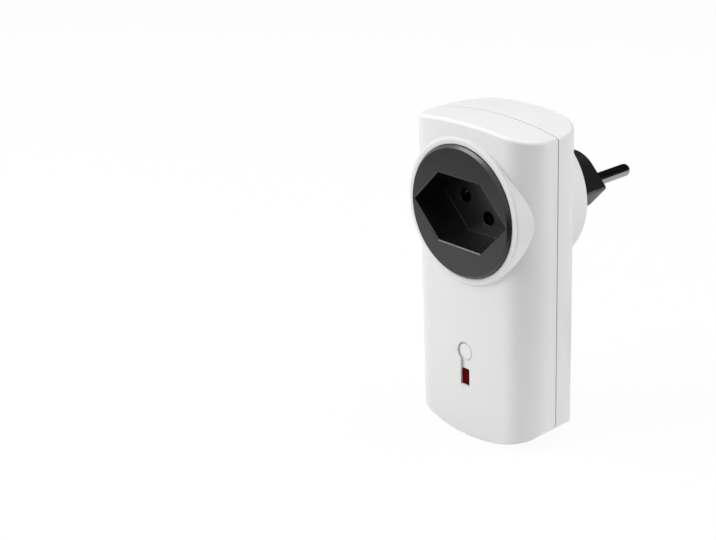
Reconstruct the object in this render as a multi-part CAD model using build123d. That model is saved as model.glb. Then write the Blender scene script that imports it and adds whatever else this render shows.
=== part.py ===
from build123d import *
from math import atan2, cos, pi, radians, sin, sqrt
import os

# Plug in dimmer: a plug-through housing with a round socket in its front and a dimming circuit below
# Lengths are millimetres. The origin is the centre of the plug's end face, midway between the line
# and neutral pins. +Y runs into the wall, +Z is up, and the socket looks along -Y.

# Plug and socket interface
pin_radius = 2.0
pin_length = 19.0
pin_tip_round = 1.7
pin_spread = 19.0
earth_drop = 5.0
hole_radius = 2.2
recess_width = 37.0
recess_height = 20.6
recess_edge = 17.0
recess_depth = 12.3
recess_corner_radius = 0.5
recess_mouth_chamfer = 0.35

# Depths along Y, from the plug's end face forward to the socket's face
plug_reach = 14.4
boss_proud = 1.0
rear_depth = 14.5
front_depth = 13.7
collar_proud = 0.6
disc_proud = 1.2

# Case outline
case_shoulder = 0.9
crown_margin = 4.4
crown_drop = 2.7
foot_margin = 9.3
foot_rise = 4.9
foot_corner_radius = 3.5
front_bow_radius = 175.0
front_corner_radius = 9.8
rear_corner_radius = 12.8
case_edge_radius = 1.0
wall = 2.0
seam_gap = 0.35
lip_height = 2.0
lip_thickness = 0.9

# Round collar in front and boss behind, both on the pins' axis
collar_rim = 2.2
collar_flare = 1.2
collar_length = 9.0
collar_edge_radius = 0.9
collar_wall = 2.4
collar_side_wall = 1.2
boss_step = 0.1
boss_length = 9.0
boss_edge_radius = 0.8

# Clearances
fit_gap = 0.1
thread_gap = 0.02
slide_gap = 0.05
hole_gap = 0.2
overrun = 5.0

# Socket insert
disc_rim = 1.4
disc_chamfer = 0.8
insert_flange_thickness = 1.5
insert_wall = 1.2
insert_floor = 2.0
insert_post_radius = 2.6
insert_post_reach = 14.8

# Contact carrier
carrier_plate = 1.8
sleeve_wall = 1.2
sleeve_length = 9.6
sleeve_web = 1.4
carrier_screw_length = 7.0

# Spring contacts
contact_wall = 0.5
contact_slot = 0.8
contact_set_back = 0.4
contact_rear_gap = 1.4
strip_thickness = 0.6
strip_width = 2.4
strip_gap = 0.2
strap_lane = 6.0
strap_drop = 4.1
tab_width = 1.2

# Plug body
plug_width = 34.8
plug_height = 18.6
plug_edge = 17.4
plug_lift = 0.4
plug_shoulder_radius = 10.0
plug_vertex_radius = 0.8
plug_end_round = 0.5
plug_wall = 1.2
plug_end_thickness = 9.8
plug_flange_rim = 1.5
plug_flange_thickness = 2.0
pin_ring_radius = 3.0
pin_ring_depth = 0.6
pin_neck_radius = 1.75
pin_head_radius = 2.5
pin_head_height = 0.8
pin_tail_radius = 1.1
pin_tail_length = 1.4

# Pillars inside the rear cover that hold the plug flange and press on the contact carrier
pillar_radius = 1.4
pillar_inset = 3.0
pillar_angles = (40, 140, 220, 320)

# Case screws, seen from behind
case_screw_side = 8.6
case_screw_drop = 6.3
case_screw_low_side = 9.6
case_screw_board_gap = 1.7
screw_head_radius = 2.8
screw_head_height = 1.8
screw_shank_radius = 1.5
screw_length = 12.0
screw_cross = 3.2
screw_cross_width = 0.9
screw_cross_depth = 0.9
screw_well_depth = 5.3
front_post_radius = 3.1
rear_post_radius = 3.6
rear_post_length = 4.0

# Circuit board
board_set_back = 11.2
board_thickness = 1.6
board_side_gap = 1.7
board_drop = 3.5
board_below_led = 4.9
board_post_radius = 2.3
board_screw_radius = 1.1
board_screw_length = 5.4
board_head_radius = 2.0
board_head_height = 1.2
board_post_inset = 2.9
board_post_drop = 3.6
board_post_rise = 2.8
peg_radius = 1.0

# Button, its switch and the keyhole in the front cover
button_drop = 18.7
button_radius = 2.95
button_recess = 0.8
button_pad_inset = 0.5
button_pad_height = 0.55
button_pad_edge = 0.25
button_cap = 1.1
button_flange_radius = 4.0
button_flange_thickness = 1.0
button_stalk_radius = 1.5
button_travel = 0.5
key_slot_width = 3.6
key_slot_length = 11.0
window_height = 5.0
window_recess = 0.6
window_rim = 0.9
window_rim_thickness = 1.0
window_pipe_length = 4.4
switch_size = 6.2
switch_height = 3.5
plunger_radius = 1.7
plunger_height = 0.9
plunger_foot_radius = 2.2
plunger_foot_height = 0.8
plunger_overtravel = 0.2
switch_roof = 0.8
switch_leg = 0.7

# Parts on the board's front
led_radius = 1.5
led_height = 5.2
led_rim_radius = 1.8
led_rim_height = 1.0
fuse_drop = 4.8
fuse_length = 20.0
fuse_radius = 2.5
fuse_cap_length = 5.0
fuse_axis_height = 3.4
fuse_clip_wall = 0.5
fuse_clip_width = 3.6
varistor_inset = 5.6
varistor_gap = 1.5
varistor_radius = 4.5
varistor_thickness = 3.6
varistor_standoff = 1.2
lead_radius = 0.35
resistor_inset = 5.9
resistor_gap = 4.5
resistor_pitch = 3.4
resistor_count = 3
resistor_radius = 1.15
resistor_length = 6.4
resistor_span = 9.4
resistor_height = 1.6
chip_inset = 8.5
chip_width = 3.9
chip_length = 8.7
chip_thickness = 1.5
chip_standoff = 0.15
chip_leg_pitch = 1.27
chip_leg_count = 7
chip_leg_width = 0.42
chip_leg_reach = 1.0
receiver_inset = 6.2
receiver_gap = 0.7
receiver_width = 10.4
receiver_height = 5.6
receiver_thickness = 0.9
receiver_standoff = 2.6
header_width = 7.6
header_height = 2.4
can_width = 4.8
can_height = 3.4
can_thickness = 1.3
antenna_drop = 5.6
antenna_radius = 2.3
antenna_wire = 0.5
antenna_length = 18.0

# Parts on the board's back
back_row_drop = 4.6
back_row_gap = 2.5
choke_inset = 9.0
choke_outer_radius = 6.8
choke_inner_radius = 3.4
choke_height = 6.6
winding_thickness = 1.1
winding_gap_angle = 50
filter_inset = 8.8
filter_width = 13.0
filter_height = 8.0
filter_depth = 10.6
dropper_gap = 0.2
dropper_width = 7.4
dropper_height = 7.4
dropper_depth = 9.4
capacitor_inset = 5.2
capacitor_radius = 3.5
capacitor_length = 10.6
box_corner_radius = 0.8
triac_inset = 11.3
triac_drop = 4.4
triac_width = 10.0
triac_body_height = 8.9
triac_tab_height = 6.4
triac_body_thickness = 3.0
triac_tab_thickness = 1.3
triac_hole_radius = 1.8
triac_leg_pitch = 2.54
triac_leg_width = 0.8
triac_leg_reach = 1.6
triac_standoff = 4.2
heat_sink_inset = 1.9
heat_sink_rise = 0.8
heat_sink_thickness = 1.5
triac_screw_radius = 1.45
triac_screw_head_radius = 2.6
triac_screw_head_height = 1.6
triac_nut_radius = 2.7
triac_nut_height = 1.2

# Planes that the sizes above give
disc_radius = recess_width / 2 + disc_rim
collar_radius = disc_radius + collar_rim
collar_base_radius = collar_radius + collar_flare
boss_radius = collar_radius + boss_step
case_width = 2 * (collar_base_radius + case_shoulder)
crown_height = collar_radius + crown_margin
insert_flange_radius = collar_radius - collar_side_wall - fit_gap
plug_flange_radius = boss_radius - wall - plug_flange_rim
carrier_radius = plug_flange_radius - fit_gap
pin_x = pin_spread / 2
pin_places = {"line": (-pin_x, 0), "neutral": (pin_x, 0), "earth": (0, -earth_drop)}
boss_face_y = -plug_reach
rear_y = boss_face_y - boss_proud
seam_y = rear_y - rear_depth
crown_y = seam_y - front_depth
collar_face_y = crown_y - collar_proud
disc_face_y = collar_face_y - disc_proud
recess_floor_y = disc_face_y + recess_depth
insert_back_y = recess_floor_y + insert_floor
carrier_back_y = insert_back_y + carrier_plate
sleeve_end_y = carrier_back_y + sleeve_length
flange_back_y = boss_face_y - wall
flange_front_y = flange_back_y - plug_flange_thickness
cavity_floor_y = -plug_end_thickness
pin_head_y = cavity_floor_y - pin_head_height
guest_tip_y = recess_floor_y + pin_length
contact_end_y = guest_tip_y + contact_rear_gap
front_wall_y = crown_y + wall
board_front_y = crown_y + board_set_back
board_back_y = board_front_y + board_thickness
board_top_z = -collar_radius - board_drop
button_z = board_top_z - button_drop
key_slot_bottom = button_z - key_slot_length
window_top = key_slot_bottom + window_height
led_z = (window_top + key_slot_bottom) / 2
board_bottom_z = led_z - board_below_led
board_edge_x = case_width / 2 - wall - board_side_gap
board_post_x = board_edge_x - board_post_inset
board_post_low_z = board_bottom_z + board_post_rise
contact_inner_radius = pin_radius + thread_gap
contact_outer_radius = contact_inner_radius + contact_wall
strip_front_y = sleeve_end_y + strip_gap
strip_foot_z = board_top_z - strip_width
pillar_circle_radius = plug_flange_radius - pillar_inset + fit_gap
pillar_places = [
    (pillar_circle_radius * cos(radians(a)), pillar_circle_radius * sin(radians(a)))
    for a in pillar_angles
]
case_screw_x = case_width / 2 - case_screw_side
case_screw_low_x = case_width / 2 - case_screw_low_side
case_screw_high_z = crown_height - case_screw_drop
case_screw_low_z = board_bottom_z - case_screw_board_gap - front_post_radius
case_screw_places = [
    (-case_screw_x, case_screw_high_z),
    (case_screw_x, case_screw_high_z),
    (-case_screw_low_x, case_screw_low_z),
    (case_screw_low_x, case_screw_low_z),
]
foot_height = foot_margin - case_screw_low_z
screw_seat_y = rear_y - screw_well_depth
board_post_high_z = board_top_z - board_post_drop
board_screw_places = [(-board_post_x, board_post_high_z), (board_post_x, board_post_low_z)]
board_peg_places = [(board_post_x, board_post_high_z), (-board_post_x, board_post_low_z)]
fuse_z = board_top_z - fuse_drop
chip_x = chip_inset - board_edge_x
chip_z = led_z
resistor_x = resistor_inset - board_edge_x
resistor_low_z = chip_z + chip_length / 2 + resistor_gap
receiver_x = board_edge_x - receiver_inset
receiver_z = board_post_low_z + board_post_radius + receiver_gap + receiver_height / 2
varistor_x = board_edge_x - varistor_inset
varistor_z = receiver_z + receiver_height / 2 + varistor_gap + varistor_radius
antenna_z = board_bottom_z - antenna_drop
back_row_z = board_top_z - back_row_drop
winding_radius = choke_outer_radius + winding_thickness + thread_gap
choke_x = choke_inset - board_edge_x
choke_z = back_row_z - winding_radius
filter_x = board_edge_x - filter_inset
filter_z = back_row_z - filter_height / 2
dropper_x = -dropper_gap - dropper_width / 2
dropper_z = choke_z - winding_radius - back_row_gap - dropper_height / 2
capacitor_x = capacitor_inset - board_edge_x
capacitor_z = choke_z - winding_radius - back_row_gap - capacitor_radius
triac_x = board_edge_x - triac_inset
triac_top_z = back_row_z - filter_height - triac_drop
triac_bottom_z = triac_top_z - triac_body_height - triac_tab_height
heat_sink_left = triac_x - triac_width / 2
heat_sink_right = board_edge_x - heat_sink_inset
heat_sink_top_z = triac_top_z + heat_sink_rise
carrier_screw_places = [(0, insert_post_reach), (0, -insert_post_reach)]


# Shared shapes
def along_y(outline, start, end):
    """An outline drawn on X and Z, carried along Y from start to end."""
    return extrude(Plane.XZ.offset(-end) * outline, end - start)


def rod(radius, start, end, x=0, z=0):
    """A round bar along Y."""
    return along_y(Pos(x, z) * Circle(radius), start, end)


def brick(width, height, start, end, x=0, z=0, corner=0):
    """A block along Y, with its four long edges rounded if a corner radius is given."""
    outline = RectangleRounded(width, height, corner) if corner else Rectangle(width, height)
    return along_y(Pos(x, z) * outline, start, end)


def slab(start, end):
    """All the space of the case between two planes across Y."""
    reach = 2 * (foot_height + case_width)
    return brick(reach, reach, start, end)


def turned(points):
    """A profile of (radius, y) points turned about the pins' axis."""
    return revolve(make_face(Polyline(*points, close=True)), Axis.Y)


def plan_outline(inset):
    """The case seen from above: a slightly bowed front, rounded sides and larger rear corners."""
    half = case_width / 2 - inset
    bow = front_bow_radius - inset
    corner = front_corner_radius - inset
    back = rear_corner_radius - inset
    front = crown_y + inset
    rear = rear_y - inset
    corner_x = half - corner
    corner_y = front + bow - sqrt((bow - corner) ** 2 - corner_x**2)
    angle = atan2(corner_x, front + bow - corner_y)
    half_turn = (angle + pi / 2) / 2
    meet = (bow * sin(angle), front + bow - bow * cos(angle))
    middle = (corner_x + corner * sin(half_turn), corner_y - corner * cos(half_turn))
    back_x = half - back
    back_y = rear - back
    back_middle = (back_x + back * sin(pi / 4), back_y + back * sin(pi / 4))
    right = [
        ThreePointArc(meet, middle, (half, corner_y)),
        Line((half, corner_y), (half, back_y)),
        ThreePointArc((half, back_y), back_middle, (back_x, rear)),
    ]
    left = [mirror(edge, Plane.YZ) for edge in right]
    bowed = ThreePointArc((-meet[0], meet[1]), (0, front), meet)
    flat = Line((back_x, rear), (-back_x, rear))
    return make_face([bowed, flat] + right + left)


def face_outline(inset):
    """The case seen from the front: upright sides between an arched top and an arched foot."""
    half = case_width / 2 - inset
    top = crown_height - inset
    shoulder = top - crown_drop
    bottom = -foot_height + inset
    hip = bottom + foot_rise
    edges = [
        ThreePointArc((-half, shoulder), (0, top), (half, shoulder)),
        Line((half, shoulder), (half, hip)),
        ThreePointArc((half, hip), (0, bottom), (-half, hip)),
        Line((-half, hip), (-half, shoulder)),
    ]
    outline = make_face(edges)
    foot_corners = outline.vertices().sort_by(Axis.Y)[:2]
    return fillet(foot_corners, foot_corner_radius)


def case_block(inset):
    """The whole case as one block, or its hollow when inset by the wall."""
    upright = along_y(face_outline(inset), crown_y - overrun, rear_y + overrun)
    level = extrude(Plane.XY.offset(-foot_height - overrun) * plan_outline(inset),
                    foot_height + crown_height + 2 * overrun)
    return upright & level


def hexagon(width, height, edge, inset=0, corner=0, shoulder=0):
    """A six-sided outline with points left and right and flat edges above and below."""
    points = [
        (width / 2, 0),
        (edge / 2, height / 2),
        (-edge / 2, height / 2),
        (-width / 2, 0),
        (-edge / 2, -height / 2),
        (edge / 2, -height / 2),
    ]
    outline = make_face(Polyline(*points, close=True))
    if shoulder:
        outline = fillet(outline.vertices().filter_by(lambda v: abs(v.Y) > height / 4), shoulder)
    if corner:
        outline = fillet(outline.vertices().filter_by(lambda v: abs(v.Y) < height / 100), corner)
    return offset(outline, amount=-inset, kind=Kind.INTERSECTION) if inset else outline


def plug_outline(inset=0):
    """The plug body's six-sided section with its soft shoulders, a little above the pins' line."""
    section = hexagon(plug_width, plug_height, plug_edge, inset, plug_vertex_radius, plug_shoulder_radius)
    return Pos(0, plug_lift) * section


def pan_screw(x, z, seat, head_radius, head_height, shank_radius, length, cross=0):
    """A screw driven towards -Y, its head's underside on the seat."""
    screw = rod(head_radius, seat, seat + head_height, x, z)
    screw += rod(shank_radius, seat - length, seat, x, z)
    if cross:
        top = seat + head_height
        deep = top - screw_cross_depth * cross
        for width, height in ((screw_cross, screw_cross_width), (screw_cross_width, screw_cross)):
            screw -= brick(width * cross, height * cross, deep, top + overrun, x, z)
    return screw


def group(solids):
    """Separate solids kept together as one node."""
    return Compound(children=list(solids))


# Case
def front_cover():
    """Front half of the case with the socket's collar, the keyhole and the screw posts."""
    block = case_block(0)
    block = fillet(block.faces().sort_by(Axis.Z)[-1].edges(), case_edge_radius)
    edge = collar_edge_radius
    profile = [
        (0, collar_face_y),
        (collar_radius - edge, collar_face_y),
        (collar_radius - edge / 4, collar_face_y + edge / 4),
        (collar_radius, collar_face_y + edge),
        (collar_base_radius, collar_face_y + collar_length),
        (0, collar_face_y + collar_length),
    ]
    cover = block + turned(profile)
    hollow = case_block(wall)
    hollow += rod(collar_radius - collar_side_wall, collar_face_y + collar_wall, seam_y)
    cover -= hollow
    posts = [(x, z, front_post_radius, screw_seat_y - rear_post_length - fit_gap)
             for x, z in case_screw_places]
    posts += [(x, z, board_post_radius, board_front_y) for x, z in board_screw_places + board_peg_places]
    inside = case_block(wall / 2)
    for x, z, radius, end in posts:
        cover += rod(radius, crown_y, end, x, z) & inside
    for x, z in board_peg_places:
        cover += rod(peg_radius, crown_y + wall, board_back_y, x, z) & inside
    rim = case_block(wall - lip_thickness - fit_gap)
    rabbet = rim & slab(seam_y - lip_height - fit_gap, seam_y + overrun)
    for x, z in case_screw_places:
        rabbet -= rod(front_post_radius, crown_y, rear_y, x, z)
    cover -= rabbet
    trimmed = cover & slab(crown_y - overrun, seam_y - seam_gap / 2)
    for x, z in case_screw_places:
        trimmed += (rod(front_post_radius, crown_y, screw_seat_y - rear_post_length - fit_gap, x, z)
                    & case_block(wall + fit_gap) & slab(seam_y - overrun, rear_y))
        trimmed -= rod(screw_shank_radius + thread_gap, screw_seat_y - screw_length - fit_gap,
                       screw_seat_y, x, z)
    for x, z in board_screw_places:
        trimmed -= rod(board_screw_radius + thread_gap, board_back_y - board_screw_length - fit_gap,
                       board_back_y, x, z)
    trimmed -= rod(disc_radius + fit_gap, disc_face_y - overrun, seam_y)
    trimmed -= keyhole(fit_gap, crown_y - overrun, front_wall_y + overrun / 4)
    return trimmed


def keyhole(gap, start, end):
    """The round button hole and the slot below it, wider than what they hold by the gap."""
    slot_height = button_z - key_slot_bottom
    hole = rod(button_radius + gap, start, end, 0, button_z)
    return hole + brick(key_slot_width, slot_height, start, end, 0, button_z - slot_height / 2)


def rear_cover():
    """Rear half of the case with the round boss, the plug's opening and the screw wells."""
    block = case_block(0)
    block = fillet(block.faces().sort_by(Axis.Z)[-1].edges(), case_edge_radius)
    edge = boss_edge_radius
    profile = [
        (0, boss_face_y - boss_length),
        (boss_radius, boss_face_y - boss_length),
        (boss_radius, boss_face_y - edge),
        (boss_radius - edge / 4, boss_face_y - edge / 4),
        (boss_radius - edge, boss_face_y),
        (0, boss_face_y),
    ]
    cover = block + turned(profile)
    hollow = case_block(wall) + rod(boss_radius - wall, seam_y, flange_back_y)
    cover -= hollow
    wells = case_block(wall / 2)
    post_front = screw_seat_y - rear_post_length
    for x, z in case_screw_places:
        cover += rod(rear_post_radius, post_front, rear_y, x, z) & wells
    cover = cover & slab(seam_y + seam_gap / 2, boss_face_y + overrun)
    lip = case_block(wall - lip_thickness) - case_block(wall)
    cover += lip & slab(seam_y - lip_height, seam_y + wall)
    for x, z in case_screw_places:
        cover -= rod(front_post_radius + hole_gap, crown_y, post_front, x, z)
        cover -= rod(screw_shank_radius + hole_gap, post_front - overrun, rear_y, x, z)
        cover -= rod(screw_head_radius + hole_gap, screw_seat_y, boss_face_y + overrun, x, z)
    for x, z in pillar_places:
        cover += rod(pillar_radius, carrier_back_y + fit_gap, boss_face_y - wall / 2, x, z)
    cover -= along_y(plug_outline(-fit_gap), flange_back_y - overrun / 10, boss_face_y + overrun)
    return cover


def case_screws():
    """The four case screws, driven from behind into the front cover's posts."""
    return group(
        pan_screw(x, z, screw_seat_y, screw_head_radius, screw_head_height, screw_shank_radius,
                  screw_length, 1)
        for x, z in case_screw_places
    )


# Socket
def socket_insert():
    """Black round insert with the six-sided recess and the three pin holes."""
    flange_y = collar_face_y + collar_wall
    insert = rod(disc_radius, disc_face_y, flange_y)
    front_rim = insert.faces().sort_by(Axis.Y)[0].edges()
    insert = chamfer(front_rim, disc_chamfer)
    insert += rod(insert_flange_radius, flange_y, flange_y + insert_flange_thickness)
    shell = hexagon(recess_width, recess_height, recess_edge, -insert_wall)
    keep = rod(insert_flange_radius, flange_y, insert_back_y)
    insert += along_y(shell, flange_y, insert_back_y) & keep
    for x, z in carrier_screw_places:
        insert += rod(insert_post_radius, flange_y, insert_back_y, x, z)
        insert -= rod(screw_shank_radius + thread_gap, insert_back_y - carrier_screw_length,
                      insert_back_y, x, z)
    recess = along_y(hexagon(recess_width, recess_height, recess_edge, corner=recess_corner_radius),
                     disc_face_y, recess_floor_y)
    insert -= recess
    mouth = insert.faces().sort_by(Axis.Y)[0].inner_wires()[0].edges()
    insert = chamfer(mouth, recess_mouth_chamfer)
    for x, z in pin_places.values():
        insert -= rod(hole_radius, recess_floor_y - overrun / 10, insert_back_y, x, z)
    return insert


def contact_carrier():
    """Moulded plate with three sleeves that hold the contacts behind the insert's floor."""
    carrier = rod(carrier_radius, insert_back_y, carrier_back_y)
    bore = contact_outer_radius + fit_gap
    for x, z in pin_places.values():
        carrier += rod(bore + sleeve_wall, carrier_back_y, sleeve_end_y, x, z)
    carrier += brick(pin_spread, sleeve_web, carrier_back_y, sleeve_end_y, 0, -earth_drop / 4)
    carrier += brick(sleeve_web, earth_drop, carrier_back_y, sleeve_end_y, 0, -earth_drop / 2)
    for x, z in pin_places.values():
        carrier -= rod(bore, insert_back_y, sleeve_end_y, x, z)
    for x, z in carrier_screw_places:
        carrier -= rod(screw_shank_radius + hole_gap, insert_back_y, carrier_back_y, x, z)
    return carrier


def carrier_screws():
    """The two screws that draw the contact carrier onto the insert."""
    return group(
        pan_screw(x, z, carrier_back_y, screw_head_radius, screw_head_height, screw_shank_radius,
                  carrier_plate + carrier_screw_length - hole_gap, 1)
        for x, z in carrier_screw_places
    )


def spring_tube(x, z, end, slot_side):
    """A rolled brass contact with a slot along one side."""
    start = insert_back_y + contact_set_back
    tube = rod(contact_outer_radius, start, end, x, z)
    tube -= rod(contact_inner_radius, start, end, x, z)
    slot_x = x + slot_side * contact_outer_radius
    return tube - brick(contact_outer_radius, contact_slot, start, end, slot_x, z)


def board_strip(x, top_z):
    """A flat strip that drops from a contact and turns forward to a tab in the board."""
    back = strip_front_y + strip_thickness
    height = top_z - strip_foot_z
    strip = brick(strip_width, height, strip_front_y, back, x, top_z - height / 2)
    strip += brick(strip_width, strip_thickness, board_back_y + strip_gap, back, x,
                   strip_foot_z + strip_thickness / 2)
    return strip + brick(tab_width, strip_thickness, board_back_y, board_back_y + strip_thickness,
                         x, strip_foot_z + strip_thickness / 2)


def contact_line():
    """Line contact: a spring tube, with a strip down to the dimmed output on the board."""
    x, z = pin_places["line"]
    contact = spring_tube(x, z, contact_end_y - strip_thickness, -1)
    return contact + (board_strip(x, z - contact_inner_radius) - rod(contact_inner_radius,
                                                                     seam_y, boss_face_y, x, z))


def riveted_end(x, z):
    """The closed rear end of a contact, with the eye that the pin's tail is riveted in."""
    end = rod(contact_outer_radius, pin_head_y - strip_thickness, pin_head_y, x, z)
    return end - rod(pin_tail_radius + thread_gap, pin_head_y - strip_thickness, pin_head_y, x, z)


def contact_neutral():
    """Neutral contact: a spring tube riveted to its pin, with a strip down to the board."""
    x, z = pin_places["neutral"]
    contact = spring_tube(x, z, pin_head_y, 1) + riveted_end(x, z)
    return contact + (board_strip(x, z - contact_inner_radius) - rod(contact_inner_radius,
                                                                     seam_y, boss_face_y, x, z))


def contact_earth():
    """Earth contact: a spring tube riveted straight to the earth pin."""
    x, z = pin_places["earth"]
    return spring_tube(x, z, pin_head_y, 1) + riveted_end(x, z)


def line_strap():
    """Strap from the line pin's tail out of the plug and down to the fuse on the board."""
    x, z = pin_places["line"]
    arm_z = z - strap_drop
    low = arm_z - strip_thickness
    eye_front = pin_head_y - strip_thickness
    strap = riveted_end(x, z)
    bridge_width = abs(x) - strap_lane + strip_width / 2
    bridge_x = -strap_lane + strip_width / 2 - bridge_width / 2
    bridge = brick(bridge_width, strap_drop + strip_thickness, eye_front, pin_head_y, bridge_x,
                   z - (strap_drop + strip_thickness) / 2)
    strap += bridge - rod(pin_tail_radius + thread_gap, eye_front, pin_head_y, x, z)
    strap += brick(strip_width, strip_thickness, strip_front_y, pin_head_y, -strap_lane,
                   (arm_z + low) / 2)
    return strap + board_strip(-strap_lane, arm_z)


# Plug
def plug_body():
    """Black plug body: a flange inside the case and a six-sided block that holds the pins."""
    body = along_y(plug_outline(), flange_front_y, 0)
    body = fillet(body.faces().sort_by(Axis.Y)[-1].edges(), plug_end_round)
    body += rod(plug_flange_radius, flange_front_y, flange_back_y)
    body -= along_y(plug_outline(plug_wall), flange_front_y, cavity_floor_y)
    for x, z in pin_places.values():
        body -= rod(pin_neck_radius + thread_gap, cavity_floor_y, 0, x, z)
        body -= rod(pin_ring_radius, -pin_ring_depth, overrun, x, z)
    for x, z in pillar_places:
        body -= rod(pillar_radius + fit_gap, flange_front_y, flange_back_y, x, z)
    return body


def pin(name):
    """A plug pin: round-tipped bar, thinner neck in the plug body, head and rivet tail inside."""
    x, z = pin_places[name]
    bar = rod(pin_radius, -pin_ring_depth, pin_length, x, z)
    bar = fillet(bar.faces().sort_by(Axis.Y)[-1].edges(), pin_tip_round)
    bar += rod(pin_neck_radius, cavity_floor_y, -pin_ring_depth, x, z)
    bar += rod(pin_head_radius, pin_head_y, cavity_floor_y, x, z)
    return bar + rod(pin_tail_radius, pin_head_y - pin_tail_length, pin_head_y, x, z)


# Button and its window
def learn_button():
    """Push button: round cap with a raised pad and its key arm, a flange behind the wall and a stalk."""
    face_y = crown_y + button_recess
    cap_back = front_wall_y + fit_gap
    arm_bottom = window_top + fit_gap
    arm_height = button_z - arm_bottom
    button = rod(button_radius, face_y, cap_back, 0, button_z)
    arm = brick(key_slot_width - 2 * fit_gap, arm_height, face_y, face_y + button_cap, 0,
                button_z - arm_height / 2)
    button += arm
    pad = rod(button_radius - button_pad_inset, face_y - button_pad_height, face_y, 0, button_z)
    button += fillet(pad.faces().sort_by(Axis.Y)[0].edges(), button_pad_edge)
    button += rod(button_flange_radius, cap_back, cap_back + button_flange_thickness, 0, button_z)
    plunger_top = board_front_y - switch_height - plunger_height
    return button + rod(button_stalk_radius, cap_back, plunger_top, 0, button_z)


def led_window():
    """Red lens in the lower end of the slot, with a rim behind the wall and a light pipe."""
    height = window_height - 2 * fit_gap
    width = key_slot_width - 2 * fit_gap
    rim_y = front_wall_y + fit_gap
    window = brick(width, height, crown_y + window_recess, rim_y, 0, led_z)
    window += brick(width + 2 * window_rim, height, rim_y, rim_y + window_rim_thickness, 0,
                    led_z - window_rim)
    return window + brick(width, height - window_rim, rim_y,
                          crown_y + window_recess + window_pipe_length, 0, led_z - window_rim / 2)


def switch_body():
    """Tact switch housing on the board, open at its top for the plunger."""
    top = board_front_y - switch_height
    under_roof = top + switch_roof
    floor = under_roof + plunger_foot_height + button_travel + plunger_overtravel
    body = brick(switch_size, switch_size, top, board_front_y, 0, button_z)
    body -= rod(plunger_radius + slide_gap, top, floor, 0, button_z)
    body -= rod(plunger_foot_radius + slide_gap, under_roof, floor, 0, button_z)
    reach = switch_size / 2 + switch_leg / 2
    for x in (-reach, reach):
        for z in (-switch_size / 3, switch_size / 3):
            body += brick(switch_leg, switch_leg, board_front_y - switch_height / 2, board_front_y,
                          x, button_z + z)
    return body


def switch_plunger():
    """The switch's round plunger, kept in by its wider foot."""
    top = board_front_y - switch_height
    plunger = rod(plunger_radius, top - plunger_height, top + switch_roof + slide_gap, 0, button_z)
    foot = top + switch_roof + slide_gap
    return plunger + rod(plunger_foot_radius, foot, foot + plunger_foot_height, 0, button_z)


# Board and the parts on its front
def main_board():
    """Circuit board on the front cover's posts."""
    board = brick(2 * board_edge_x, board_top_z - board_bottom_z, board_front_y, board_back_y, 0,
                  (board_top_z + board_bottom_z) / 2, box_corner_radius)
    for x, z in board_screw_places:
        board -= rod(board_screw_radius + hole_gap, board_front_y, board_back_y, x, z)
    for x, z in board_peg_places:
        board -= rod(peg_radius + fit_gap, board_front_y, board_back_y, x, z)
    return board


def board_screws():
    """The two screws that hold the board."""
    return group(
        pan_screw(x, z, board_back_y, board_head_radius, board_head_height, board_screw_radius,
                  board_screw_length, board_head_radius / screw_head_radius)
        for x, z in board_screw_places
    )


def status_led():
    """Indicator diode behind the red window: a rim on the board and a domed body."""
    top = board_front_y - led_height
    body = rod(led_radius, top, board_front_y, 0, led_z)
    body = fillet(body.faces().sort_by(Axis.Y)[0].edges(), led_radius - thread_gap)
    return body + rod(led_rim_radius, board_front_y - led_rim_height, board_front_y, 0, led_z)


def across_x(radius, length, x, y, z):
    """A round bar along X, centred on a point."""
    return Pos(x, y, z) * Rot(0, 90, 0) * Cylinder(radius, length)


def fuse():
    """Cartridge fuse: a glass tube between two metal end caps."""
    y = board_front_y - fuse_axis_height
    body = across_x(fuse_radius, fuse_length, 0, y, fuse_z)
    middle = fuse_length - 2 * fuse_cap_length
    waist = across_x(fuse_radius + overrun, middle, 0, y, fuse_z)
    waist -= across_x(fuse_radius - fit_gap, middle, 0, y, fuse_z)
    return body - waist


def fuse_clips():
    """The two spring clips that hold the fuse by its end caps."""
    y = board_front_y - fuse_axis_height
    clips = []
    for side in (-1, 1):
        x = side * (fuse_length - fuse_cap_length) / 2
        outer = fuse_radius + fuse_clip_wall
        clip = across_x(outer, fuse_clip_width, x, y, fuse_z)
        clip += brick(fuse_clip_width, outer, y, board_front_y, x, fuse_z)
        clip -= across_x(fuse_radius + thread_gap, fuse_clip_width, x, y, fuse_z)
        mouth = Pos(x, y - outer, fuse_z) * Box(fuse_clip_width, outer, fuse_radius)
        clips.append(clip - mouth)
    return group(clips)


def varistor():
    """Surge-protection disc standing off the board on two leads."""
    back = board_front_y - varistor_standoff
    disc = rod(varistor_radius, back - varistor_thickness, back, varistor_x, varistor_z)
    disc = fillet(disc.edges(), varistor_thickness / 3)
    for side in (-1, 1):
        x = varistor_x + side * varistor_radius / 2
        disc += rod(lead_radius, back - varistor_thickness / 2, board_front_y, x, varistor_z)
    return disc


def resistors():
    """A row of wire-ended resistors with their leads bent down to the board."""
    bodies = []
    y = board_front_y - resistor_height
    for i in range(resistor_count):
        z = resistor_low_z + i * resistor_pitch
        body = across_x(resistor_radius, resistor_length, resistor_x, y, z)
        body += across_x(lead_radius, resistor_span, resistor_x, y, z)
        for side in (-1, 1):
            x = resistor_x + side * (resistor_span / 2 - lead_radius)
            body += rod(lead_radius, y, board_front_y, x, z)
        bodies.append(body)
    return group(bodies)


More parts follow.
